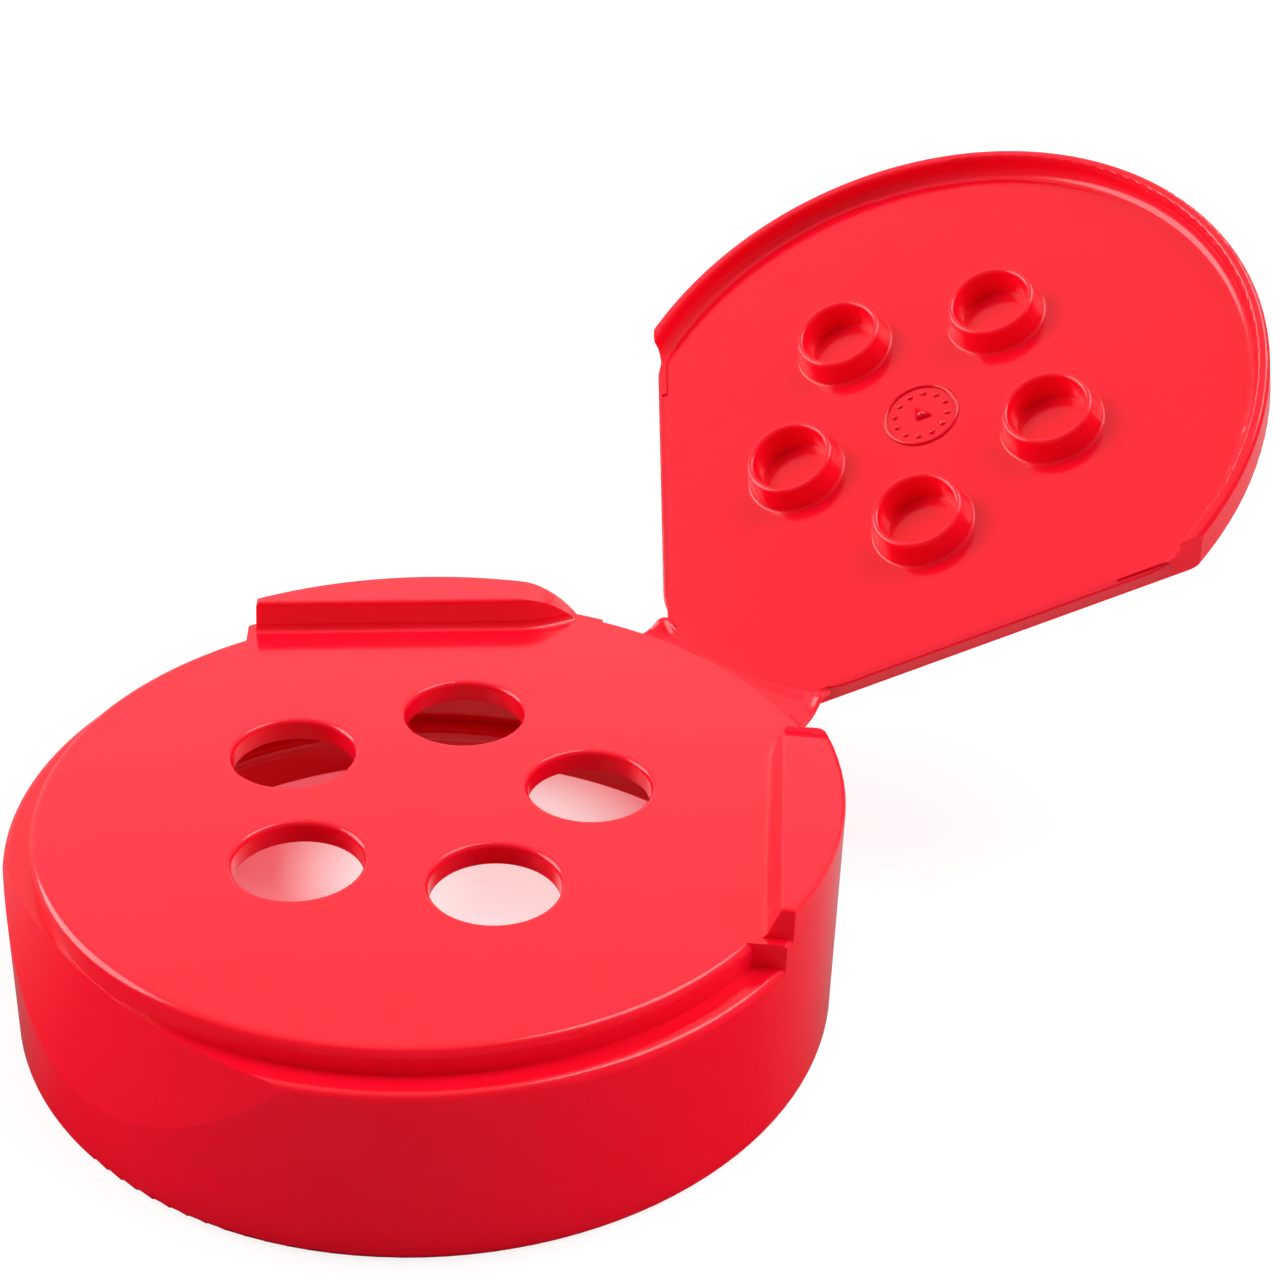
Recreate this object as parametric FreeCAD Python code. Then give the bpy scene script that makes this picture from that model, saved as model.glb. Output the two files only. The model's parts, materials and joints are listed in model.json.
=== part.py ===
import FreeCAD, Part
import math
import os

Vec = FreeCAD.Vector

# Screw skirt
SKIRT_RADIUS = 23.1
SKIRT_HEIGHT = 10.2
SKIRT_WALL = 1.45
SKIRT_FOOT_ROUND = 0.4
SHOULDER_ROUND = 0.4

# Neck cavity under the deck
THREAD_ZONE_TOP = 6.2
NECK_ZONE_STEP = 1.05
NECK_ZONE_CORNER_ROUND = 0.6
SEAL_BEAD_INSET = 1.4
SEAL_BEAD_SECTION = 0.45

# Dispensing deck, raised above the shoulder that the closed flap sits on
SHOULDER_WIDTH = 1.5
DECK_RISE = 1.45
DECK_THICKNESS = 1.27
DECK_EDGE_ROUND = 0.45
SHOULDER_END_RUN = 11.45
REAR_EDGE_ROUND = 0.3

# Dispensing holes on one circle, the first one opposite the hinge
HOLE_COUNT = 5
HOLE_RADIUS = 3.5
HOLE_EDGE_ROUND = 0.3
HOLE_CIRCLE_RADIUS = 9.07

# Raised wings that stand level with the closed flap, one on each side
WING_RISE = 1.77
WING_NORMAL_ANGLE = 40.65
WING_WIDTH = 3.55
WING_LEAN = 0.45
WING_FOOT_FILLET = 0.5
WING_TOP_ROUND = 0.25
WING_FRONT_END = 10.9
WING_FRONT_ROUND = 0.3
WING_ROLL_START = 5.3
WING_ROLL_RADIUS = 5.6
WING_TURN_RADIUS = 7.0
WING_OUTER_ROUND = 0.3

# Thumb scoop at the front: a cone with its axis behind the cap's centre
SCOOP_DEPTH = 1.45
SCOOP_FOOT_HEIGHT = 4.0
SCOOP_PLAN_RADIUS = 35.95
SCOOP_HALF_ANGLE = 30.0

# Hinge line, seat and web
HINGE_BELOW_DECK = 1.07
HINGE_SEAT_DEPTH = 0.5
HINGE_SEAT_BELOW_DECK = 2.4
WEB_SIDE_CLEARANCE = 0.515
WEB_ROOT_HALF_WIDTH = 7.4
WEB_TIP_HALF_WIDTH = 6.0
WEB_THICKNESS = 0.35
WEB_ROOT_BELOW_DECK = 1.75
WEB_BULGE = 0.5
WEB_EMBED = 0.3
WEB_SECTIONS = 7
OPEN_ANGLE = 145.7

# Flap
FLAP_LIFT = 0.3
FLAP_SIDE_CLEARANCE = 0.83
FLAP_BACK_INSET = 1.4
FLAP_FRONT_CORNER = 1.5
FLAP_BACK_CORNER = 0.3
FLAP_TOP_ROUND = 0.45
RIM_TOP_WALL = 0.5
RIM_FREE_WALL = 0.8
RIM_DECK_CLEARANCE = 0.25
RIM_SHOULDER_CLEARANCE = 0.3
RIM_ROOT_FILLET = 0.8
RIM_INNER_ROUND = 0.25
RIM_OUTER_ROUND = 0.3
LIP_HEIGHT = 0.15
LIP_WIDTH = 0.4
LIP_LENGTH = 3.0
OUTLINE_MARGIN = 0.05

# Plug rings that close the dispensing holes
PLUG_BASE_CLEARANCE = 0.25
PLUG_TIP_CLEARANCE = 0.52
PLUG_WALL = 0.5
PLUG_ENTRY = 1.39
PLUG_FILLET = 0.2

# Worked out from the sizes above: radii
THREAD_ZONE_RADIUS = SKIRT_RADIUS - SKIRT_WALL
NECK_ZONE_RADIUS = THREAD_ZONE_RADIUS - NECK_ZONE_STEP
SEAL_BEAD_RADIUS = NECK_ZONE_RADIUS - SEAL_BEAD_INSET
DECK_RADIUS = SKIRT_RADIUS - SHOULDER_WIDTH
WING_TOP_DISTANCE = SKIRT_RADIUS - WING_WIDTH
WING_FOOT_DISTANCE = WING_TOP_DISTANCE - WING_LEAN
FLAP_SIDE_DISTANCE = WING_FOOT_DISTANCE - FLAP_SIDE_CLEARANCE
FLAP_BACK_RADIUS = SKIRT_RADIUS - FLAP_BACK_INSET
RIM_INNER_RADIUS = DECK_RADIUS + RIM_DECK_CLEARANCE
RIM_FREE_RADIUS = RIM_INNER_RADIUS + RIM_FREE_WALL
FLAP_TOP_RADIUS = RIM_INNER_RADIUS + RIM_TOP_WALL
OUTLINE_RADIUS = RIM_FREE_RADIUS + OUTLINE_MARGIN
PLUG_BASE_RADIUS = HOLE_RADIUS - PLUG_BASE_CLEARANCE
PLUG_TIP_RADIUS = HOLE_RADIUS - PLUG_TIP_CLEARANCE
HINGE_SEAT_RADIUS = SKIRT_RADIUS - HINGE_SEAT_DEPTH
HINGE_SEAT_HALF_ANGLE = math.degrees(math.asin((WEB_ROOT_HALF_WIDTH + WEB_SIDE_CLEARANCE) / HINGE_SEAT_RADIUS))
LIP_FRONT_END = WING_FRONT_END

# Worked out from the sizes above: heights and the hinge line
DECK_TOP = SKIRT_HEIGHT + DECK_RISE
DECK_UNDERSIDE = DECK_TOP - DECK_THICKNESS
WING_TOP = DECK_TOP + WING_RISE
FLAP_UNDERSIDE = DECK_TOP + FLAP_LIFT
FLAP_TOP = WING_TOP
RIM_FREE_EDGE = SKIRT_HEIGHT + RIM_SHOULDER_CLEARANCE
HINGE_Y = SKIRT_RADIUS
HINGE_Z = DECK_TOP - HINGE_BELOW_DECK

# How far joined solids run into each other, and how far cutting tools run out
OVERLAP = 0.2
BEYOND = 5.0


def rz(radius, height):
    """A point of a profile in the XZ plane, by radius and height."""
    return Vec(radius, 0, height)


def line(start, end):
    return Part.makeLine(start, end)


def arc(start, middle, end):
    return Part.Arc(start, middle, end).toShape()


def round_corner(centre, radius, start_angle, end_angle):
    """A profile arc about centre, with its angles in degrees from the radial direction."""
    points = []
    for angle in (start_angle, (start_angle + end_angle) / 2, end_angle):
        turn = math.radians(angle)
        points.append(centre + Vec(radius * math.cos(turn), 0, radius * math.sin(turn)))
    return arc(*points)


def chain(*pieces):
    """Joins points and arcs, in order, into one closed wire; gaps are closed by straight lines."""
    edges = []
    last = None
    first = None
    for piece in pieces:
        is_point = isinstance(piece, Vec)
        start = piece if is_point else piece.firstVertex(True).Point
        end = piece if is_point else piece.lastVertex(True).Point
        if last is not None and (start - last).Length > 1e-6:
            edges.append(line(last, start))
        if not is_point:
            edges.append(piece)
        last = end
        first = start if first is None else first
    if (first - last).Length > 1e-6:
        edges.append(line(last, first))
    return Part.Wire(edges)


def revolved(wire, start_angle=0.0, sweep=360.0, axis_point=Vec(0, 0, 0)):
    """Turns a profile in the XZ plane about the vertical through axis_point."""
    solid = Part.Face(wire).revolve(Vec(0, 0, 0), Vec(0, 0, 1), sweep)
    solid.rotate(Vec(0, 0, 0), Vec(0, 0, 1), start_angle)
    solid.translate(axis_point)
    return solid


def mirrored(shape):
    return shape.mirror(Vec(0, 0, 0), Vec(1, 0, 0))


def closed_to_open(shape):
    """Turns a shape from the closed place of the flap to its open one."""
    turned = shape.copy()
    turned.rotate(Vec(0, HINGE_Y, HINGE_Z), Vec(1, 0, 0), -OPEN_ANGLE)
    return turned


def skirt_and_deck():
    foot = round_corner(rz(SKIRT_RADIUS - SKIRT_FOOT_ROUND, SKIRT_FOOT_ROUND), SKIRT_FOOT_ROUND, -90, 0)
    shoulder = round_corner(
        rz(SKIRT_RADIUS - SHOULDER_ROUND, SKIRT_HEIGHT - SHOULDER_ROUND), SHOULDER_ROUND, 0, 90)
    deck_edge = round_corner(
        rz(DECK_RADIUS - DECK_EDGE_ROUND, DECK_TOP - DECK_EDGE_ROUND), DECK_EDGE_ROUND, 0, 90)
    profile = chain(
        rz(0, 0), foot, shoulder, rz(DECK_RADIUS, SKIRT_HEIGHT), deck_edge, rz(0, DECK_TOP))
    return revolved(profile)


def rear_deck():
    """Behind the shoulder's ends the deck runs out to the full radius of the skirt."""
    edge = round_corner(
        rz(SKIRT_RADIUS - REAR_EDGE_ROUND, DECK_TOP - REAR_EDGE_ROUND), REAR_EDGE_ROUND, 0, 90)
    inner = DECK_RADIUS - 2 * DECK_EDGE_ROUND
    foot = SKIRT_HEIGHT - 2 * SHOULDER_ROUND
    ring = revolved(chain(rz(inner, foot), rz(SKIRT_RADIUS, foot), edge, rz(inner, DECK_TOP)))
    _, along = wing_axes()
    ahead = Part.makeBox(2 * SKIRT_RADIUS, 4 * SKIRT_RADIUS, 4 * SKIRT_HEIGHT, Vec(0, -2 * SKIRT_RADIUS, 0))
    ahead.rotate(Vec(0, 0, 0), Vec(0, 0, 1), WING_NORMAL_ANGLE - 90)
    ahead.translate(along * SHOULDER_END_RUN)
    return ring.cut([ahead, mirrored(ahead)])


def neck_cavity():
    """The space for the bottle's neck: a thread zone, a step and a narrower zone for the neck's lip."""
    corner = round_corner(
        rz(NECK_ZONE_RADIUS - NECK_ZONE_CORNER_ROUND, DECK_UNDERSIDE - NECK_ZONE_CORNER_ROUND),
        NECK_ZONE_CORNER_ROUND, 0, 90)
    profile = chain(
        rz(0, -BEYOND), rz(THREAD_ZONE_RADIUS, -BEYOND), rz(THREAD_ZONE_RADIUS, THREAD_ZONE_TOP),
        rz(NECK_ZONE_RADIUS, THREAD_ZONE_TOP + NECK_ZONE_STEP), corner, rz(0, DECK_UNDERSIDE))
    return revolved(profile)


def seal_bead():
    """The half-round ring under the deck that presses on the neck's lip."""
    return Part.makeTorus(SEAL_BEAD_RADIUS, SEAL_BEAD_SECTION, Vec(0, 0, DECK_UNDERSIDE), Vec(0, 0, 1))


def hole_centres():
    centres = []
    for index in range(HOLE_COUNT):
        turn = math.radians(-90 + index * 360 / HOLE_COUNT)
        centres.append(Vec(HOLE_CIRCLE_RADIUS * math.cos(turn), HOLE_CIRCLE_RADIUS * math.sin(turn), 0))
    return centres


def dispensing_hole():
    """The tool for one hole, with a rounded upper edge."""
    mouth = HOLE_RADIUS + HOLE_EDGE_ROUND
    edge = round_corner(rz(mouth, DECK_TOP - HOLE_EDGE_ROUND), HOLE_EDGE_ROUND, 180, 90)
    profile = chain(
        rz(0, DECK_UNDERSIDE - BEYOND), rz(HOLE_RADIUS, DECK_UNDERSIDE - BEYOND), edge,
        rz(mouth, DECK_TOP + BEYOND), rz(0, DECK_TOP + BEYOND))
    return revolved(profile)


def wing_axes():
    """Directions out from the cap's axis and along the wing's chord towards the front."""
    turn = math.radians(WING_NORMAL_ANGLE)
    outward = Vec(math.cos(turn), math.sin(turn), 0)
    along = Vec(math.sin(turn), -math.cos(turn), 0)
    return outward, along


def right_wing():
    outward, along = wing_axes()
    root = DECK_TOP - OVERLAP

    def across(distance, height):
        return outward * distance + Vec(0, 0, height)

    def lengthwise(run, height):
        return along * run + Vec(0, 0, height)

    fillet_foot = across(WING_FOOT_DISTANCE - WING_FOOT_FILLET, DECK_TOP)
    fillet_head = across(WING_FOOT_DISTANCE, DECK_TOP + WING_FOOT_FILLET)
    fillet_centre = across(WING_FOOT_DISTANCE - WING_FOOT_FILLET, DECK_TOP + WING_FOOT_FILLET)
    diagonal = (outward - Vec(0, 0, 1)) * (WING_FOOT_FILLET / math.sqrt(2))
    brow_start = across(WING_TOP_DISTANCE, WING_TOP - WING_TOP_ROUND)
    brow_middle = across(WING_TOP_DISTANCE + WING_TOP_ROUND * (1 - math.sqrt(0.5)),
                         WING_TOP - WING_TOP_ROUND * (1 - math.sqrt(0.5)))
    brow_end = across(WING_TOP_DISTANCE + WING_TOP_ROUND, WING_TOP)
    turn_distance = WING_TOP_DISTANCE + WING_TURN_RADIUS
    section = chain(
        across(turn_distance, root), across(WING_FOOT_DISTANCE - WING_FOOT_FILLET, root),
        arc(fillet_foot, fillet_centre + diagonal, fillet_head),
        arc(brow_start, brow_middle, brow_end), across(turn_distance, WING_TOP))
    section = Part.Face(section)
    section.translate(along * -WING_ROLL_START)
    bar = section.extrude(along * (2 * SKIRT_RADIUS))
    turn_axis = outward * turn_distance - along * WING_ROLL_START
    bar = bar.fuse(section.revolve(turn_axis, Vec(0, 0, 1), -90))

    roll_centre = lengthwise(-WING_ROLL_START, WING_TOP - WING_ROLL_RADIUS)
    roll_turn = math.acos((root - WING_TOP + WING_ROLL_RADIUS) / WING_ROLL_RADIUS)
    roll_points = []
    for turn in (0, roll_turn / 2, roll_turn):
        reach = along * (-WING_ROLL_RADIUS * math.sin(turn))
        roll_points.append(roll_centre + reach + Vec(0, 0, WING_ROLL_RADIUS * math.cos(turn)))
    front_start = lengthwise(WING_FRONT_END, WING_TOP - WING_FRONT_ROUND)
    front_middle = lengthwise(WING_FRONT_END - WING_FRONT_ROUND * (1 - math.sqrt(0.5)),
                              WING_TOP - WING_FRONT_ROUND * (1 - math.sqrt(0.5)))
    front_end = lengthwise(WING_FRONT_END - WING_FRONT_ROUND, WING_TOP)
    side = chain(
        lengthwise(WING_FRONT_END, root), arc(front_start, front_middle, front_end), arc(*roll_points))
    slab = Part.Face(side).extrude(outward * turn_distance)

    outer_edge = round_corner(
        rz(SKIRT_RADIUS - WING_OUTER_ROUND, WING_TOP - WING_OUTER_ROUND), WING_OUTER_ROUND, 0, 90)
    drum = revolved(chain(rz(0, root - BEYOND), rz(SKIRT_RADIUS, root - BEYOND), outer_edge, rz(0, WING_TOP)))
    return bar.common(slab).common(drum)


def thumb_scoop():
    """The tool for the scoop: what lies outside a cone that leans into the skirt at its top."""
    axis_point = Vec(0, SCOOP_PLAN_RADIUS - SKIRT_RADIUS + SCOOP_DEPTH, 0)
    foot_radius = SCOOP_PLAN_RADIUS + SCOOP_DEPTH
    slope = SCOOP_DEPTH / (SKIRT_HEIGHT - SCOOP_FOOT_HEIGHT)
    start = SCOOP_FOOT_HEIGHT - OVERLAP
    top = SKIRT_HEIGHT + OVERLAP
    far = foot_radius + BEYOND
    profile = chain(
        rz(foot_radius + slope * OVERLAP, start), rz(far, start), rz(far, top),
        rz(SCOOP_PLAN_RADIUS, top), rz(SCOOP_PLAN_RADIUS, SKIRT_HEIGHT))
    return revolved(profile, -90 - SCOOP_HALF_ANGLE, 2 * SCOOP_HALF_ANGLE, axis_point)


def hinge_seat():
    """The tool for the shallow seat behind the deck's rear edge, where the web starts."""
    floor = DECK_TOP - HINGE_SEAT_BELOW_DECK
    top = DECK_TOP + BEYOND
    far = SKIRT_RADIUS + BEYOND
    profile = chain(rz(HINGE_SEAT_RADIUS, floor), rz(far, floor), rz(far, top), rz(HINGE_SEAT_RADIUS, top))
    return revolved(profile, 90 - HINGE_SEAT_HALF_ANGLE, 2 * HINGE_SEAT_HALF_ANGLE)


def cap_base():
    wing = right_wing()
    shell = skirt_and_deck().fuse([rear_deck(), wing, mirrored(wing)])
    tools = [neck_cavity(), thumb_scoop(), hinge_seat()]
    hole = dispensing_hole()
    for centre in hole_centres():
        tool = hole.copy()
        tool.translate(centre)
        tools.append(tool)
    shell = shell.cut(tools)
    return shell.fuse(seal_bead()).removeSplitter()


def corner_centre(radius, distance, corner, side):
    """Centre of the arc that joins the circle of the outline to its straight side."""
    turn = math.radians(WING_NORMAL_ANGLE)
    turn += side * math.acos((distance - corner) / (radius - corner))
    return Vec(math.cos(turn), math.sin(turn), 0) * (radius - corner)


def corner_points(radius, distance, corner, side):
    """End on the circle, middle and end on the straight side of the corner's arc."""
    outward, _ = wing_axes()
    centre = corner_centre(radius, distance, corner, side)
    radial = Vec(centre).normalize()
    middle = Vec(radial + outward).normalize()
    return centre + radial * corner, centre + middle * corner, centre + outward * corner


def flap_outline():
    """Plan of the closed flap: a round front, straight sides that close in, and a round back."""
    front = corner_points(OUTLINE_RADIUS, FLAP_SIDE_DISTANCE, FLAP_FRONT_CORNER, -1)
    back = corner_points(FLAP_BACK_RADIUS, FLAP_SIDE_DISTANCE, FLAP_BACK_CORNER, 1)

    def flip(point):
        return Vec(-point.x, point.y, point.z)

    edges = [
        arc(*front),
        line(front[2], back[2]),
        arc(*reversed(back)),
        arc(back[0], Vec(0, FLAP_BACK_RADIUS, 0), flip(back[0])),
        arc(*[flip(point) for point in back]),
        line(flip(back[2]), flip(front[2])),
        arc(*[flip(point) for point in reversed(front)]),
        arc(flip(front[0]), Vec(0, -OUTLINE_RADIUS, 0), front[0])]
    return Part.Wire(edges)


def flap_shell():
    """The turned plate and rim of the flap, cut to its outline."""
    inner_tip = round_corner(
        rz(RIM_INNER_RADIUS + RIM_INNER_ROUND, RIM_FREE_EDGE + RIM_INNER_ROUND), RIM_INNER_ROUND, -180, -90)
    outer_tip = round_corner(
        rz(RIM_FREE_RADIUS - RIM_OUTER_ROUND, RIM_FREE_EDGE + RIM_OUTER_ROUND), RIM_OUTER_ROUND, -90, 0)
    root = round_corner(
        rz(RIM_INNER_RADIUS - RIM_ROOT_FILLET, FLAP_UNDERSIDE - RIM_ROOT_FILLET), RIM_ROOT_FILLET, 90, 0)
    brow = round_corner(
        rz(FLAP_TOP_RADIUS - FLAP_TOP_ROUND, FLAP_TOP - FLAP_TOP_ROUND), FLAP_TOP_ROUND, 0, 90)
    profile = chain(rz(0, FLAP_UNDERSIDE), root, inner_tip, outer_tip, brow, rz(0, FLAP_TOP))
    outline = flap_outline()
    outline.translate(Vec(0, 0, RIM_FREE_EDGE - BEYOND))
    prism = Part.Face(outline).extrude(Vec(0, 0, FLAP_TOP - RIM_FREE_EDGE + 2 * BEYOND))
    shell = revolved(profile).common(prism)
    behind = Part.makeBox(
        2 * SKIRT_RADIUS, SKIRT_RADIUS, BEYOND, Vec(-SKIRT_RADIUS, SKIRT_RADIUS / 2, FLAP_UNDERSIDE - BEYOND))
    return shell.cut(behind)


def plug_ring():
    tip_height = DECK_TOP - PLUG_ENTRY
    tip = PLUG_WALL / 2
    tip_centre = rz(PLUG_TIP_RADIUS - tip, tip_height + tip)
    root = FLAP_UNDERSIDE + OVERLAP
    fillet = round_corner(
        rz(PLUG_BASE_RADIUS + PLUG_FILLET, FLAP_UNDERSIDE - PLUG_FILLET), PLUG_FILLET, 180, 90)
    inner_root = 2 * PLUG_TIP_RADIUS - PLUG_WALL - PLUG_BASE_RADIUS
    profile = chain(
        rz(inner_root, root), round_corner(tip_centre, tip, -180, 0), fillet,
        rz(PLUG_BASE_RADIUS + PLUG_FILLET, root))
    return revolved(profile)


def side_lip():
    """The low lip along the underside of the straight side, next to the rim's end."""
    outward, along = wing_axes()
    start = outward * (FLAP_SIDE_DISTANCE - LIP_WIDTH) + along * (LIP_FRONT_END - LIP_LENGTH)
    start.z = FLAP_UNDERSIDE - LIP_HEIGHT
    wire = chain(start, start + outward * LIP_WIDTH, start + outward * LIP_WIDTH + along * LIP_LENGTH,
                 start + along * LIP_LENGTH)
    return Part.Face(wire).extrude(Vec(0, 0, LIP_HEIGHT + OVERLAP))


def flip_lid():
    pieces = [side_lip(), mirrored(side_lip())]
    ring = plug_ring()
    for centre in hole_centres():
        placed = ring.copy()
        placed.translate(centre)
        pieces.append(placed)
    closed = flap_shell().fuse(pieces).removeSplitter()
    return closed_to_open(closed)


def on_circle(radius, offset):
    return math.sqrt(radius ** 2 - offset ** 2)


def web_section(share):
    """One section of the bowed web, from the hinge seat to the rear edge of the open flap."""
    root_x = WEB_ROOT_HALF_WIDTH * share
    tip_x = WEB_TIP_HALF_WIDTH * share
    root = Vec(root_x, on_circle(HINGE_SEAT_RADIUS, root_x) - WEB_EMBED, DECK_TOP - WEB_ROOT_BELOW_DECK)
    flap_end = Part.Vertex(
        tip_x, on_circle(FLAP_BACK_RADIUS, tip_x) - WEB_EMBED, FLAP_UNDERSIDE + WEB_THICKNESS)
    tip = closed_to_open(flap_end).Point
    run = Vec(tip - root).normalize()
    up = run.cross(Vec(-1, 0, 0)).normalize()
    if up.z < 0:
        up = up * -1
    half = up * (WEB_THICKNESS / 2)
    middle = (root + tip) * 0.5 + up * WEB_BULGE
    return chain(arc(root + half, middle + half, tip + half), arc(tip - half, middle - half, root - half))


def living_hinge(base, lid):
    sections = []
    for index in range(WEB_SECTIONS):
        share = index / (WEB_SECTIONS - 1)
        sections.append(web_section(2 * share - 1))
    band = Part.makeLoft(sections, True)
    trimmed = band.cut([base, lid])
    middle = Vec(0, HINGE_Y + HINGE_SEAT_DEPTH, HINGE_Z)
    return min(trimmed.Solids, key=lambda solid: (solid.CenterOfMass - middle).Length)


def main():
    os.makedirs("parts", exist_ok=True)
    base = cap_base()
    lid = flip_lid()
    parts = {"cap_base": base, "flip_lid": lid, "living_hinge": living_hinge(base, lid)}
    for name, shape in parts.items():
        solids = shape.Solids
        box = shape.BoundBox
        print(name, "solids", len(solids), "valid", shape.isValid(), "volume", round(shape.Volume, 2),
              "box", [round(v, 2) for v in (box.XMin, box.XMax, box.YMin, box.YMax, box.ZMin, box.ZMax)])
        shape.exportStep("parts/" + name + ".step")


main()
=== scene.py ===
import json
import math

import bmesh
import bpy
from mathutils import Matrix, Vector


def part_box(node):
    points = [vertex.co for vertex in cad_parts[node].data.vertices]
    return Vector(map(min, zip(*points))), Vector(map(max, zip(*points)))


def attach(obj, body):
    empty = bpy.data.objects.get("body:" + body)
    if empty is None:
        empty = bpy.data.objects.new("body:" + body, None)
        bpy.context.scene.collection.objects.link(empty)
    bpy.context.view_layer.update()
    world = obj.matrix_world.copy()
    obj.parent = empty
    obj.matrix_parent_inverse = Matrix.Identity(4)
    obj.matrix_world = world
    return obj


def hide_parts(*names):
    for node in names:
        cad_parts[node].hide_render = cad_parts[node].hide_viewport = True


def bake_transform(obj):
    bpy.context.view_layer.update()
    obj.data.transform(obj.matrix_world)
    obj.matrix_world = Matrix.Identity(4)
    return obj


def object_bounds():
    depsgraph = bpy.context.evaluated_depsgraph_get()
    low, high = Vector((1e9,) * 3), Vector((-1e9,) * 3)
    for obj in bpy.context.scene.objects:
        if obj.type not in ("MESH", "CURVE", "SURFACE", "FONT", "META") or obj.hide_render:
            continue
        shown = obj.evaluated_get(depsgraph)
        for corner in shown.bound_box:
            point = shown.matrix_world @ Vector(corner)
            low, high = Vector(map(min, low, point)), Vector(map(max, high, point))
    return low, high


bl_info = {
    "name": "Spice Cap Dresser",
    "version": (1, 0, 0),
    "blender": (4, 5, 0),
    "location": "3D View > Sidebar > Spice Cap",
    "description": "Finishes a flip-top spice cap: plastic, hinge web, neck thread, mould dial and studio",
    "category": "Object",
}

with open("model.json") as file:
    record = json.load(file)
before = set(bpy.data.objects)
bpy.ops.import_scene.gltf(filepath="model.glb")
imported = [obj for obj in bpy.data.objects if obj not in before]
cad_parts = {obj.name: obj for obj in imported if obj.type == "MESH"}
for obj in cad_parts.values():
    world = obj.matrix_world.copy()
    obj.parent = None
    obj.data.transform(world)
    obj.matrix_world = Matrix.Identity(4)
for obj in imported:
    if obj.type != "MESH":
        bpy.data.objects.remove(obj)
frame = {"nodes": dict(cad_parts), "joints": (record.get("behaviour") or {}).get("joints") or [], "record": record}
CAD_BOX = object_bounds()
MM = 0.001
SKIRT_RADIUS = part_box("cap_base")[1].x
HINGE = frame["joints"][0]
HINGE_POINT = Vector(HINGE["pos_m"])
CLOSING_ANGLE = math.radians(HINGE["range_deg"][1])
OPENING = (Matrix.Translation(HINGE_POINT) @ Matrix.Rotation(-CLOSING_ANGLE, 4, "X")
           @ Matrix.Translation(-HINGE_POINT))
BORE = next(mount for mount in frame["record"]["mounts"] if mount["name"] == "neck_bore")
BORE_RADIUS = BORE["dims"]["r_mm"] * MM
BACKDROP_WAY = (-0.69, 0.72, 0.0)
BRIGHT_AIR_WAY = (-0.50, 0.52, 0.69)


# Sizes and colours that a user may change

class PlasticSettings(bpy.types.PropertyGroup):
    red: bpy.props.FloatVectorProperty(
        name="Red", description="Colour of the moulded plastic",
        subtype="COLOR", size=3, min=0, max=1, default=(0.93, 0.0035, 0.024))
    deep_red: bpy.props.FloatVectorProperty(
        name="Deep Red", description="Colour of the plastic's slightly darker flow streaks",
        subtype="COLOR", size=3, min=0, max=1, default=(0.87, 0.0025, 0.018))
    # The web is the plastic's own red, made a little darker as painted shade near its folds.
    shaded_film_red: bpy.props.FloatVectorProperty(
        name="Film Red", description="Colour of the thin hinge web, which lets light through",
        subtype="COLOR", size=3, min=0, max=1, default=(0.90, 0.004, 0.026))
    roughness: bpy.props.FloatProperty(
        name="Roughness", description="Roughness of the polished mould's surface", min=0, max=1,
        default=0.15)
    depth: bpy.props.FloatProperty(
        name="Light Depth", description="How far light travels inside the plastic", unit="LENGTH",
        default=1.5 * MM)


class WebSettings(bpy.types.PropertyGroup):
    root_half_width: bpy.props.FloatProperty(
        name="Root Half Width", description="Half the web's width where it leaves the cap", unit="LENGTH",
        default=7.8 * MM)
    tip_half_width: bpy.props.FloatProperty(
        name="Tip Half Width", description="Half the web's width at the flap", unit="LENGTH",
        default=6.7 * MM)
    offset: bpy.props.FloatProperty(
        name="Offset", description="How far the web's middle lies to the right of the cap's", unit="LENGTH",
        default=0.6 * MM)
    thickness: bpy.props.FloatProperty(
        name="Thickness", description="Thickness of the web", unit="LENGTH", default=0.32 * MM)
    seat_depth: bpy.props.FloatProperty(
        name="Seat Depth", description="How far the seat lies inside the skirt's radius", unit="LENGTH",
        default=0.6 * MM)
    root_drop: bpy.props.FloatProperty(
        name="Root Drop", description="Height of the hinge line above the web's root", unit="LENGTH",
        default=0.75 * MM)
    flap_inset: bpy.props.FloatProperty(
        name="Flap Inset", unit="LENGTH", default=1.5 * MM,
        description="How far the web's tip lies inside the skirt's radius when the cap is closed")
    flap_rise: bpy.props.FloatProperty(
        name="Flap Rise", unit="LENGTH", default=1.42 * MM,
        description="Height of the web's tip above the hinge line when the cap is closed")
    crease: bpy.props.FloatProperty(
        name="Crease", description="Height of the two folds along the flap", unit="LENGTH",
        default=0.09 * MM)
    bulge: bpy.props.FloatProperty(
        name="Bulge", description="How far the web's ends bulge up", unit="LENGTH", default=0.5 * MM)


class ThreadSettings(bpy.types.PropertyGroup):
    pitch: bpy.props.FloatProperty(
        name="Pitch", description="Rise of the thread in one turn", unit="LENGTH", default=4.23 * MM)
    turns: bpy.props.FloatProperty(name="Turns", description="Length of the thread in turns", default=1.0)
    start: bpy.props.FloatProperty(
        name="Start", description="Height of the thread's lower end", unit="LENGTH", default=1.15 * MM)
    depth: bpy.props.FloatProperty(
        name="Depth", description="How far the thread stands out of the wall", unit="LENGTH",
        default=1.05 * MM)
    half_height: bpy.props.FloatProperty(
        name="Half Height", description="Half the thread's height at the wall", unit="LENGTH",
        default=0.7 * MM)
    sunk: bpy.props.FloatProperty(
        name="Sunk", description="How far the thread's back lies inside the wall", unit="LENGTH",
        default=0.15 * MM)


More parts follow.
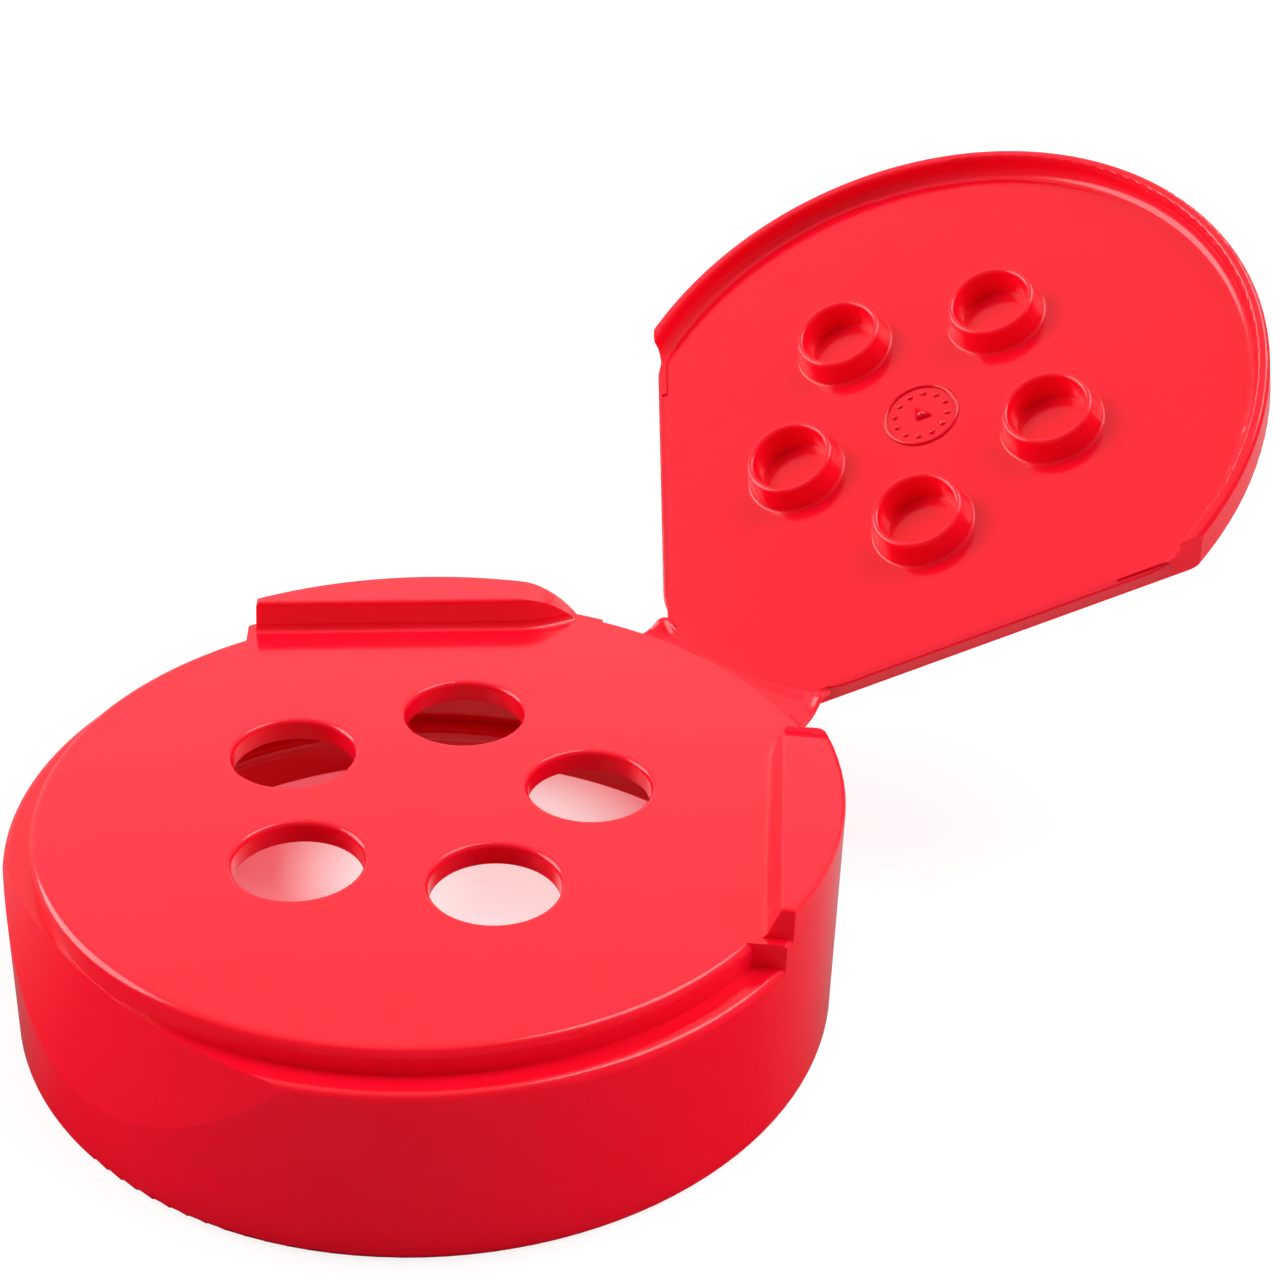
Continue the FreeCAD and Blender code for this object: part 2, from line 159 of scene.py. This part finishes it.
class DialSettings(bpy.types.PropertyGroup):
    rise: bpy.props.FloatProperty(
        name="Rise", unit="LENGTH", default=1.37 * MM,
        description="Height of the closed flap's underside above the hinge line")
    ring_radius: bpy.props.FloatProperty(
        name="Ring Radius", description="Radius of the dial's ring", unit="LENGTH", default=2.45 * MM)
    bead: bpy.props.FloatProperty(
        name="Bead", description="How far the ring stands out of the flap", unit="LENGTH",
        default=0.16 * MM)
    pips: bpy.props.IntProperty(name="Pips", description="Number of pips in the dial", default=12)
    pip: bpy.props.FloatProperty(
        name="Pip", description="Radius of one pip", unit="LENGTH", default=0.22 * MM)
    pip_circle: bpy.props.FloatProperty(
        name="Pip Circle", description="Radius of the circle of pips", unit="LENGTH", default=1.8 * MM)
    pointer: bpy.props.FloatProperty(
        name="Pointer", description="Length of the dial's pointer", unit="LENGTH", default=1.1 * MM)


class SideRollSettings(bpy.types.PropertyGroup):
    distance: bpy.props.FloatProperty(
        name="Distance", unit="LENGTH", default=18.27 * MM,
        description="Distance of the flap's straight side from the cap's axis")
    angle: bpy.props.FloatProperty(
        name="Angle", description="Direction of the straight side's normal, from +X", subtype="ANGLE",
        default=math.radians(40.65))
    front: bpy.props.FloatProperty(
        name="Front", description="Where the roll starts, along the side", unit="LENGTH",
        default=11.2 * MM)
    back: bpy.props.FloatProperty(
        name="Back", description="Where the roll ends, along the side", unit="LENGTH",
        default=-11.0 * MM)
    rise: bpy.props.FloatProperty(
        name="Rise", unit="LENGTH", default=1.37 * MM,
        description="Height of the closed flap's underside above the hinge line")
    height: bpy.props.FloatProperty(
        name="Height", description="Height of the flap's side", unit="LENGTH", default=1.3 * MM)
    reach: bpy.props.FloatProperty(
        name="Reach", description="How far the roll stands out of the side", unit="LENGTH",
        default=0.32 * MM)
    sunk: bpy.props.FloatProperty(
        name="Sunk", description="How far the roll lies inside the flap", unit="LENGTH",
        default=0.3 * MM)
    edge_round: bpy.props.FloatProperty(
        name="Edge Round", description="Width of the roll's rounded edges", unit="LENGTH",
        default=0.14 * MM)


class StageSettings(bpy.types.PropertyGroup):
    camera_place: bpy.props.FloatVectorProperty(
        name="Camera Place", description="Where the camera stands", subtype="TRANSLATION", unit="LENGTH",
        default=(0.077653, -0.065142, 0.078450))
    camera_heading: bpy.props.FloatProperty(
        name="Heading", description="Direction of the view in plan, from +X", subtype="ANGLE",
        default=math.radians(134.012))
    camera_pitch: bpy.props.FloatProperty(
        name="Pitch", description="Direction of the view above the horizon", subtype="ANGLE",
        default=math.radians(-26.208))
    camera_roll: bpy.props.FloatProperty(
        name="Roll", description="Turn of the camera about its view", subtype="ANGLE",
        default=math.radians(1.819))
    lens: bpy.props.FloatProperty(
        name="Lens", description="Focal length", subtype="DISTANCE_CAMERA", default=60.523)
    floor_size: bpy.props.FloatProperty(
        name="Floor Size", description="Width of the floor", unit="LENGTH", default=3.0)


# Shader maths

class Socket:
    """An output socket whose sums and products add their own Math nodes."""

    def __init__(self, shade, link):
        self.shade = shade
        self.link = link

    def _math(self, operation, *values):
        return self.shade.node("ShaderNodeMath", {"operation": operation}, dict(enumerate(values)))

    def __add__(self, other):
        return self._math("ADD", self, other)

    def __sub__(self, other):
        return self._math("SUBTRACT", self, other)

    def __rsub__(self, other):
        return self._math("SUBTRACT", other, self)

    def __mul__(self, other):
        return self._math("MULTIPLY", self, other)

    __radd__ = __add__
    __rmul__ = __mul__

    def or_more(self, other):
        return self._math("MAXIMUM", self, other)

    def clamped(self):
        return self.shade.node("ShaderNodeClamp", {}, {"Value": self})

    def between(self, low, high, at_low=0.0, at_high=1.0):
        """Runs from at_low to at_high while the socket's value runs from low to high."""
        return self.shade.node("ShaderNodeMapRange", {}, {
            "Value": self, "From Min": low, "From Max": high, "To Min": at_low, "To Max": at_high})


class Shade:
    """The node tree of a new material or world."""

    def __init__(self, owner):
        owner.use_nodes = True
        self.owner = owner
        self.tree = owner.node_tree
        self.tree.nodes.clear()

    def node(self, kind, settings, values, output=0):
        """Adds a node, with its settings first and then the values or links of its sockets."""
        made = self.tree.nodes.new(kind)
        for name, value in settings.items():
            setattr(made, name, value)
        for name, value in values.items():
            if isinstance(value, Socket):
                self.tree.links.new(value.link, made.inputs[name])
            else:
                made.inputs[name].default_value = value
        return Socket(self, made.outputs[output])

    def mix(self, amount, first, second):
        return self.node("ShaderNodeMix", {"data_type": "RGBA"}, {0: amount, 6: first, 7: second}, 2)

    def noise(self, place, scale, detail, distortion=0.0):
        return self.node("ShaderNodeTexNoise", {}, {
            "Vector": place, "Scale": scale, "Detail": detail, "Distortion": distortion})

    def vector(self, operation, *values):
        """A Vector Math node whose result is a number."""
        return self.node("ShaderNodeVectorMath", {"operation": operation}, dict(enumerate(values)), "Value")

    def ray(self, kind):
        return self.node("ShaderNodeLightPath", {}, {}, kind)

    def surface(self, shader, output="ShaderNodeOutputMaterial"):
        made = self.tree.nodes.new(output)
        self.tree.links.new(shader.link, made.inputs["Surface"])
        return self.owner


def colour(values):
    return (*values, 1.0)


def grey(level):
    return (level, level, level, 1.0)


def moulded_plastic(name, plastic, red, deep_red):
    """Glossy polypropylene: faint flow streaks in its colour, and a slow ripple in its polish."""
    shade = Shade(bpy.data.materials.new(name))
    place = shade.node("ShaderNodeTexCoord", {}, {}, "Object")
    flow = shade.noise(place, 90.0, 3.0, 1.2)
    haze = shade.noise(place, 420.0, 4.0)
    ripple = shade.noise(place, 160.0, 1.0)
    grain = shade.noise(place, 2600.0, 2.0)
    rough = (haze * 0.08 + (plastic.roughness - 0.04)).clamped()
    normal = shade.node("ShaderNodeBump", {}, {
        "Height": ripple * 0.85 + grain * 0.15, "Strength": 0.12, "Distance": 0.05 * MM})
    return shade.surface(shade.node("ShaderNodeBsdfPrincipled", {}, {
        "Base Color": shade.mix(flow, colour(red), colour(deep_red)), "Roughness": rough, "Normal": normal,
        "IOR": 1.49, "Specular IOR Level": 0.36, "Subsurface Weight": 0.45,
        "Subsurface Radius": (1.0, 0.03, 0.03), "Subsurface Scale": plastic.depth}))


def floor_white():
    """White to the camera, darker to the light and in near reflections, with painted light under the cap: a
    painted red bounce glow and a painted pool of light.
    """
    shade = Shade(bpy.data.materials.new("studio_white"))
    place = shade.node("ShaderNodeTexCoord", {}, {}, "Object")
    reach = shade.vector("LENGTH", place)
    outside = reach.between(BORE_RADIUS + 0.4 * MM, BORE_RADIUS + 0.6 * MM)
    lit = 0.8 - shade.ray("Is Camera Ray") * 0.55 - shade.ray("Is Glossy Ray") * 0.76
    matt = shade.node("ShaderNodeBsdfDiffuse", {}, {"Color": shade.mix(outside, grey(0.7), lit)})
    far_white = shade.mix(reach.between(80 * MM, 500 * MM), grey(0.82), grey(1.0))
    # Painted pool of light: a pale spot on the floor under the cap, where light through the holes would fall.
    light_spot = shade.vector("DISTANCE", place, (-6 * MM, 9.5 * MM, 0)).between(7 * MM, 13 * MM)
    # Painted red bounce light: the floor under the cap shows red, as if lit through the red walls.
    painted_underglow = shade.mix(light_spot, colour((0.75, 0.60, 0.60)), colour((0.61, 0.088, 0.11)))
    shown = shade.mix(outside, painted_underglow, far_white)
    rear = shade.vector("DOT_PRODUCT", place, BACKDROP_WAY).between(-14 * MM, 10 * MM, 0.0, 0.4)
    mirrored = shade.ray("Is Glossy Ray") * rear
    # Painted glow: diffuse rays see the glow under the cap too, so it lights the cap's inside like a lamp.
    under = (1.0 - outside) * 0.35
    seen = (shade.ray("Is Camera Ray") + shade.ray("Is Transmission Ray") + mirrored + under).clamped()
    glow = shade.node("ShaderNodeEmission", {}, {"Color": shade.mix(seen, grey(0), shown)})
    floor = shade.surface(shade.node("ShaderNodeAddShader", {}, {0: matt, 1: glow}))
    floor.cycles.emission_sampling = "NONE"
    return floor


def studio_air():
    """White to the camera, dim to the light, and in reflections brighter above than at the horizon."""
    shade = Shade(bpy.data.worlds.new("studio_air"))
    place = shade.node("ShaderNodeTexCoord", {}, {}, "Generated")
    mirrored = shade.vector("DOT_PRODUCT", place, BRIGHT_AIR_WAY).between(0.0, 0.8, 0.02, 1.0)
    level = shade.ray("Is Camera Ray").or_more(shade.ray("Is Glossy Ray") * mirrored).or_more(0.16)
    air = shade.node("ShaderNodeBackground", {}, {"Color": grey(1.0), "Strength": level})
    return shade.surface(air, "ShaderNodeOutputWorld")


def set_material(piece, material):
    piece.data.materials.clear()
    piece.data.materials.append(material)


def cap_plastic(scene):
    made = bpy.data.materials.get("red_moulded_plastic")
    plastic = scene.cap_plastic
    return made or moulded_plastic("red_moulded_plastic", plastic, plastic.red, plastic.deep_red)


def add_piece(name, mesh_maker, material):
    """Makes a smooth piece from a bmesh that mesh_maker fills."""
    mesh = bpy.data.meshes.new(name)
    shape = bmesh.new()
    mesh_maker(shape)
    bmesh.ops.recalc_face_normals(shape, faces=shape.faces)
    shape.to_mesh(mesh)
    shape.free()
    mesh.shade_smooth()
    piece = bpy.data.objects.new(name, mesh)
    bpy.context.scene.collection.objects.link(piece)
    set_material(piece, material)
    return piece


def round_edges(shape, sharper_than, width, segments):
    sharp = [edge for edge in shape.edges if edge.calc_face_angle(0.0) > sharper_than]
    bmesh.ops.bevel(shape, geom=sharp, offset=width, segments=segments, profile=0.5,
                    affect="EDGES", material=-1)


def close_ends(shape, sides):
    ends = [edge for edge in shape.edges if edge.is_boundary]
    bmesh.ops.holes_fill(shape, edges=ends, sides=sides)


def ease(value, low, high):
    """Runs smoothly from 0 to 1 while value runs from low to high."""
    share = min(max((value - low) / (high - low), 0.0), 1.0)
    return share * share * (3 - 2 * share)


def hump(value, centre, width):
    return math.exp(-((value - centre) / width) ** 2)


# One operator for each piece

class CAP_OT_base(bpy.types.Operator):
    """Finishes the moulded base of the cap"""
    bl_idname = "cap.base"
    bl_label = "Cap Base"

    def execute(self, context):
        set_material(frame["nodes"]["cap_base"], cap_plastic(context.scene))
        return {"FINISHED"}


class CAP_OT_lid(bpy.types.Operator):
    """Finishes the flap"""
    bl_idname = "cap.lid"
    bl_label = "Flip Lid"

    def execute(self, context):
        set_material(frame["nodes"]["flip_lid"], cap_plastic(context.scene))
        return {"FINISHED"}


class CAP_OT_web(bpy.types.Operator):
    """Makes the thin web that joins the flap to the cap, folded as it hangs when the flap is open"""
    bl_idname = "cap.web"
    bl_label = "Hinge Web"

    columns = 56
    rows = 48
    folds = ((0.80, 1.0), (0.93, 0.8))
    fold_width = 0.035
    edge_round = 0.06 * MM
    sharp = math.radians(60)

    def execute(self, context):
        web = context.scene.cap_web
        plastic = context.scene.cap_plastic
        # The web's material is a darker copy of the plastic: painted shade near the folds.
        film = moulded_plastic("red_hinge_film", plastic, plastic.shaded_film_red, plastic.red)
        piece = add_piece("hinge_web", lambda shape: self.fill(shape, web), film)
        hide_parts("living_hinge")
        root = self.place(web, 0.0, 0.0)
        tip = self.place(web, 0.0, 1.0)
        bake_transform(piece)
        return {"FINISHED"}

    def place(self, web, side, run):
        """A point of the upper surface: side runs from -1 to 1, run from the cap to the flap."""
        root_x = web.offset + side * web.root_half_width
        tip_x = web.offset + side * web.tip_half_width
        root_reach = math.sqrt((SKIRT_RADIUS - web.seat_depth) ** 2 - root_x ** 2)
        tip_reach = math.sqrt((SKIRT_RADIUS - web.flap_inset) ** 2 - tip_x ** 2)
        root = Vector((root_x, root_reach, HINGE_POINT.z - web.root_drop))
        tip = OPENING @ Vector((tip_x, tip_reach, HINGE_POINT.z + web.flap_rise))
        point = root.lerp(tip, run)
        folds = sum(height * hump(run, centre, self.fold_width) for centre, height in self.folds)
        end = ease(abs(side), 0.80, 0.95)
        swell = ease(run, 0.58, 0.84) * (1 - 0.6 * ease(run, 0.86, 1.0))
        point.z += web.crease * folds * (1 - 0.6 * end) + web.bulge * end * swell
        return point

    def fill(self, shape, web):
        bmesh.ops.create_grid(shape, x_segments=self.columns, y_segments=self.rows, size=1.0)
        for corner in shape.verts:
            corner.co = self.place(web, corner.co.x, (corner.co.y + 1) / 2)
        bmesh.ops.solidify(shape, geom=shape.faces[:], thickness=web.thickness)
        round_edges(shape, self.sharp, self.edge_round, segments=2)


class CAP_OT_thread(bpy.types.Operator):
    """Makes the screw thread inside the skirt"""
    bl_idname = "cap.thread"
    bl_label = "Neck Thread"

    sides = 16
    steps_a_turn = 96
    run_out = 0.07
    end_height = 0.05

    def execute(self, context):
        thread = context.scene.cap_thread
        piece = add_piece("neck_thread", lambda shape: self.fill(shape, thread), cap_plastic(context.scene))
        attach(piece, "base")
        return {"FINISHED"}

    def fill(self, shape, thread):
        steps = round(self.steps_a_turn * thread.turns)
        back = BORE_RADIUS + thread.sunk
        half_depth = (thread.depth + thread.sunk) / 2
        bmesh.ops.create_circle(shape, segments=self.sides, radius=1.0)
        for corner in shape.verts:
            out = back - half_depth + corner.co.x * half_depth
            corner.co = Vector((out, 0, thread.start + corner.co.y * thread.half_height))
        bmesh.ops.spin(
            shape, geom=shape.verts[:] + shape.edges[:], cent=(0, 0, 0), axis=(0, 0, 1), steps=steps,
            dvec=(0, 0, thread.pitch * thread.turns / steps), angle=2 * math.pi * thread.turns)
        shape.verts.index_update()
        for corner in shape.verts:
            share = (corner.index // self.sides) / steps
            full = ease(min(share, 1 - share), 0.0, self.run_out)
            standing = self.end_height + (1 - self.end_height) * full
            radius = corner.co.xy.length
            corner.co.xy *= (back + (radius - back) * standing) / radius
        close_ends(shape, self.sides)


class CAP_OT_dial(bpy.types.Operator):
    """Makes the small mould dial under the flap: a ring, plain pips and a pointer"""
    bl_idname = "cap.dial"
    bl_label = "Mould Dial"

    bead_sides = 10
    ring_steps = 72
    pip_flatness = 0.7
    pointer_length = 1.5
    pointer_taper = 1 / 2.6

    def execute(self, context):
        dial = context.scene.cap_dial
        piece = add_piece("mould_dial", lambda shape: self.fill(shape, dial), cap_plastic(context.scene))
        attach(piece, "lid")
        return {"FINISHED"}

    def fill(self, shape, dial):
        profile = bmesh.ops.create_circle(shape, segments=self.bead_sides, radius=dial.bead)["verts"]
        for corner in profile:
            corner.co = Vector((dial.ring_radius + corner.co.x, 0, corner.co.y))
        bmesh.ops.spin(shape, geom=shape.verts[:] + shape.edges[:], cent=(0, 0, 0), axis=(0, 0, 1),
                       steps=self.ring_steps, angle=2 * math.pi, use_merge=True)
        flat = Matrix.Scale(self.pip_flatness, 4, (0, 0, 1))
        for index in range(dial.pips):
            turn = Matrix.Rotation(2 * math.pi * index / dial.pips, 4, "Z")
            place = turn @ Matrix.Translation((dial.pip_circle, 0, 0))
            bmesh.ops.create_icosphere(shape, subdivisions=2, radius=dial.pip, matrix=place @ flat)
        bmesh.ops.create_cone(
            shape, cap_ends=True, segments=3, radius1=dial.pointer / 2,
            radius2=dial.pointer * self.pointer_taper, depth=2 * dial.bead,
            matrix=Matrix.Scale(self.pointer_length, 4, (1, 0, 0)))
        at_underside = OPENING @ Matrix.Translation((0, 0, HINGE_POINT.z + dial.rise))
        bmesh.ops.transform(shape, matrix=at_underside, verts=shape.verts)


class CAP_OT_side_rolls(bpy.types.Operator):
    """Makes the soft roll along each straight side of the flap"""
    bl_idname = "cap.side_rolls"
    bl_label = "Side Rolls"

    steps = 40
    run_out = 0.06
    end_reach = 0.02
    foot_reach = 0.1
    flush = 0.01 * MM
    sharp = math.radians(40)

    def execute(self, context):
        roll = context.scene.cap_side_roll
        piece = add_piece("side_rolls", lambda shape: self.fill(shape, roll), cap_plastic(context.scene))
        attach(piece, "lid")
        piece.modifiers.new("even_faces", "WEIGHTED_NORMAL")
        return {"FINISHED"}

    def fill(self, shape, roll):
        """A bar that carries the flap's underside outwards and leans back towards the flap's top."""
        section = (
            (-roll.sunk, 3 * self.flush), (roll.reach, -self.flush),
            (self.foot_reach * roll.reach, roll.height), (-roll.sunk, roll.height))
        profile = bmesh.ops.create_circle(shape, segments=len(section), radius=1.0)["verts"]
        for corner, (out, up) in zip(profile, section):
            corner.co = Vector((out, 0, up))
        bmesh.ops.spin(shape, geom=shape.verts[:] + shape.edges[:], cent=(0, 0, 0), axis=(1, 0, 0),
                       steps=self.steps, dvec=(0, 1.0 / self.steps, 0), angle=0)
        shape.verts.index_update()
        for corner in shape.verts:
            share = (corner.index // len(section)) / self.steps
            full = math.sqrt(ease(min(share, 1 - share), 0.0, self.run_out))
            standing = self.end_reach + (1 - self.end_reach) * full
            out = max(corner.co.x, 0) * standing + min(corner.co.x, 0)
            along = roll.front + (roll.back - roll.front) * share
            corner.co = Vector((roll.distance + out, -along, HINGE_POINT.z + roll.rise + corner.co.z))
        close_ends(shape, len(section))
        round_edges(shape, self.sharp, roll.edge_round, segments=3)
        turn = Matrix.Rotation(roll.angle, 3, "Z")
        bmesh.ops.rotate(shape, cent=(0, 0, 0), matrix=turn, verts=shape.verts)
        twin = bmesh.ops.duplicate(shape, geom=shape.faces[:])["geom"]
        corners = [item for item in twin if isinstance(item, bmesh.types.BMVert)]
        bmesh.ops.scale(shape, vec=(-1, 1, 1), verts=corners)
        bmesh.ops.transform(shape, matrix=OPENING, verts=shape.verts)


class CAP_OT_stage(bpy.types.Operator):
    """Makes the floor, the light and the camera"""
    bl_idname = "cap.stage"
    bl_label = "Studio"

    softboxes = (
        ("left_softbox", (-0.46, -0.30, 0.30), 0.52, 4.2, True),
        ("right_softbox", (0.40, 0.40, 0.32), 0.80, 3.1, False),
        ("top_softbox", (0.10, 0.30, 0.60), 0.40, 2.4, True))

    def execute(self, context):
        stage = context.scene.cap_stage
        self.floor(stage)
        context.scene.world = studio_air()
        for name, place, size, watts, mirrored in self.softboxes:
            self.softbox(name, Vector(place), size, watts).visible_glossy = mirrored
        self.camera(context.scene, stage)
        return {"FINISHED"}

    def floor(self, stage):
        mesh = bpy.data.meshes.new("studio_floor")
        shape = bmesh.new()
        bmesh.ops.create_grid(shape, x_segments=1, y_segments=1, size=stage.floor_size / 2)
        shape.to_mesh(mesh)
        shape.free()
        floor = bpy.data.objects.new("studio_floor", mesh)
        bpy.context.scene.collection.objects.link(floor)
        set_material(floor, floor_white())

    def softbox(self, name, place, size, watts):
        lamp = bpy.data.lights.new(name, "AREA")
        lamp.shape = "DISK"
        lamp.size = size
        lamp.energy = watts
        holder = bpy.data.objects.new(name, lamp)
        bpy.context.scene.collection.objects.link(holder)
        aim = (CAD_BOX[0] + CAD_BOX[1]) / 2 - place
        turn = aim.to_track_quat("-Z", "Y").to_matrix().to_4x4()
        holder.matrix_world = Matrix.Translation(place) @ turn
        return holder

    def camera(self, scene, stage):
        heading, pitch = stage.camera_heading, stage.camera_pitch
        level = math.cos(pitch)
        view = Vector((level * math.cos(heading), level * math.sin(heading), math.sin(pitch)))
        turn = view.to_track_quat("-Z", "Y").to_matrix() @ Matrix.Rotation(stage.camera_roll, 3, "Z")
        data = bpy.data.cameras.new("studio_camera")
        data.sensor_width = 36
        data.lens = stage.lens
        data.shift_x = 0.01
        data.shift_y = -0.09
        data.clip_start = 0.005
        data.clip_end = 10
        camera = bpy.data.objects.new("studio_camera", data)
        scene.collection.objects.link(camera)
        camera.matrix_world = Matrix.Translation(stage.camera_place) @ turn.to_4x4()
        scene.camera = camera
        scene.view_settings.view_transform = "Standard"


class CAP_PT_sidebar(bpy.types.Panel):
    """Lists the cap's settings and pieces"""
    bl_idname = "CAP_PT_sidebar"
    bl_label = "Spice Cap"
    bl_space_type = "VIEW_3D"
    bl_region_type = "UI"
    bl_category = "Spice Cap"

    def draw(self, context):
        for settings in GROUPS:
            column = self.layout.column()
            group = getattr(context.scene, settings)
            for name in group.__annotations__:
                column.prop(group, name)
        for operator in PIECES:
            self.layout.operator(operator.bl_idname)


GROUPS = {
    "cap_plastic": PlasticSettings, "cap_web": WebSettings, "cap_thread": ThreadSettings,
    "cap_dial": DialSettings, "cap_side_roll": SideRollSettings, "cap_stage": StageSettings}
PIECES = (CAP_OT_base, CAP_OT_lid, CAP_OT_web, CAP_OT_thread, CAP_OT_dial, CAP_OT_side_rolls,
          CAP_OT_stage)


def register():
    for group in (*GROUPS.values(), *PIECES, CAP_PT_sidebar):
        bpy.utils.register_class(group)
    for name, group in GROUPS.items():
        setattr(bpy.types.Scene, name, bpy.props.PointerProperty(type=group))


def unregister():
    for name in GROUPS:
        delattr(bpy.types.Scene, name)
    for group in reversed((*GROUPS.values(), *PIECES, CAP_PT_sidebar)):
        bpy.utils.unregister_class(group)


def main():
    register()
    for operator in PIECES:
        getattr(bpy.ops.cap, operator.bl_idname.split(".")[1])()


if __name__ == "__main__":
    main()
